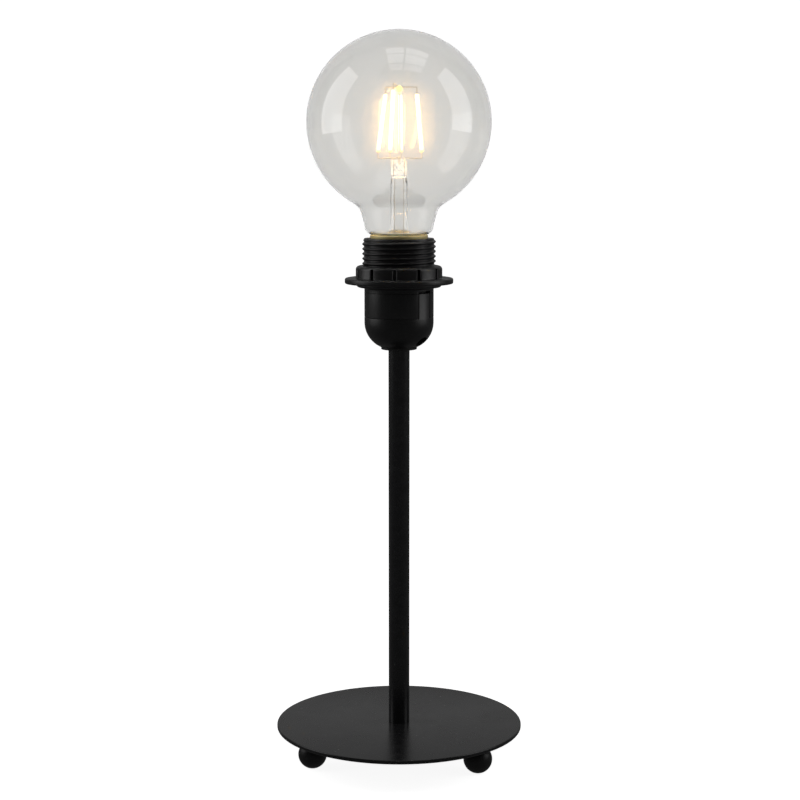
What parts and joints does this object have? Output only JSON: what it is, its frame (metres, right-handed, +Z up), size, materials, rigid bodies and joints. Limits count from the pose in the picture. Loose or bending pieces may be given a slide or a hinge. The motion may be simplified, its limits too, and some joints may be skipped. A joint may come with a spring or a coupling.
{
  "type": "bare bulb table lamp",
  "caption": "Table lamp with a bare globe bulb: round steel plate on ball feet, slim stem, black screw-ring lampholder, and a clear glass bulb with a cage of glowing strips.",
  "frame": {"origin": "on the stem's axis, at the height of the surface that the ball feet stand on", "axes": "+Z up along the stem, -Y towards the front of the lamp as pictured, +X to the right seen from the front"},
  "size_m": [0.13, 0.13, 0.3825],
  "materials": {
    "black_coat": "satin black powder coat",
    "foot_black": "black moulded plastic",
    "zinc_steel": "zinc-plated steel",
    "bushing_plastic": "black moulded plastic",
    "holder_plastic": "black moulded plastic with a soft sheen",
    "block_ceramic": "unglazed white ceramic",
    "contact_brass": "drawn and stamped brass",
    "globe_glass": "clear blown glass",
    "mount_glass": "clear pressed glass",
    "wire_metal": "plain wire",
    "strip_glow": "lit coated strip",
    "cap_brass": "bright rolled brass sheet",
    "insulator_black": "black insulating glass",
    "button_metal": "tinned contact metal",
    "board_green": "green circuit board",
    "capacitor_sleeve": "dark shrink sleeve"
  },
  "bodies": {
    "root": {"base_plate": "black_coat", "ball_foot_left": "foot_black", "ball_foot_right": "foot_black", "ball_foot_rear": "foot_black", "foot_studs": "zinc_steel", "stem_tube": "black_coat", "base_washer": "zinc_steel", "base_nut": "zinc_steel", "cord_bushing": "bushing_plastic", "holder_cap": "holder_plastic", "holder_skirt": "holder_plastic", "grub_screw": "zinc_steel", "contact_block": "block_ceramic", "screw_shell": "contact_brass", "centre_contact": "contact_brass", "terminals": "contact_brass", "terminal_screws": "zinc_steel", "contact_rivets": "contact_brass"},
    "ring": {"shade_ring": "holder_plastic"},
    "bulb_contact": {"contact_button": "button_metal"},
    "bulb": {"bulb_glass": "globe_glass", "glass_mount": "mount_glass", "lower_wires": "wire_metal", "upper_wires": "wire_metal", "filament_left": "strip_glow", "filament_front": "strip_glow", "filament_right": "strip_glow", "filament_rear": "strip_glow", "bulb_cap": "cap_brass", "cap_insulator": "insulator_black", "driver_board": "board_green", "driver_capacitor": "capacitor_sleeve"}
  },
  "joints": [
    {"name": "ring_lift", "type": "slide", "parent": "root", "child": "ring", "axis": [0, 0, 1], "range_m": [0, 0.02]},
    {"name": "bulb_lift", "type": "slide", "parent": "root", "child": "bulb_contact", "axis": [0, 0, 1], "range_m": [0, 0.0152]},
    {"name": "bulb_turn", "type": "hinge", "parent": "bulb_contact", "child": "bulb", "pos_m": [0, 0, 0.251], "axis": [0, 0, 1], "range_deg": [0, 1500]}
  ],
  "couplings": [
    {"joint": "bulb_lift", "follows": "bulb_turn", "m_per_rad": 0.00057757}
  ]
}
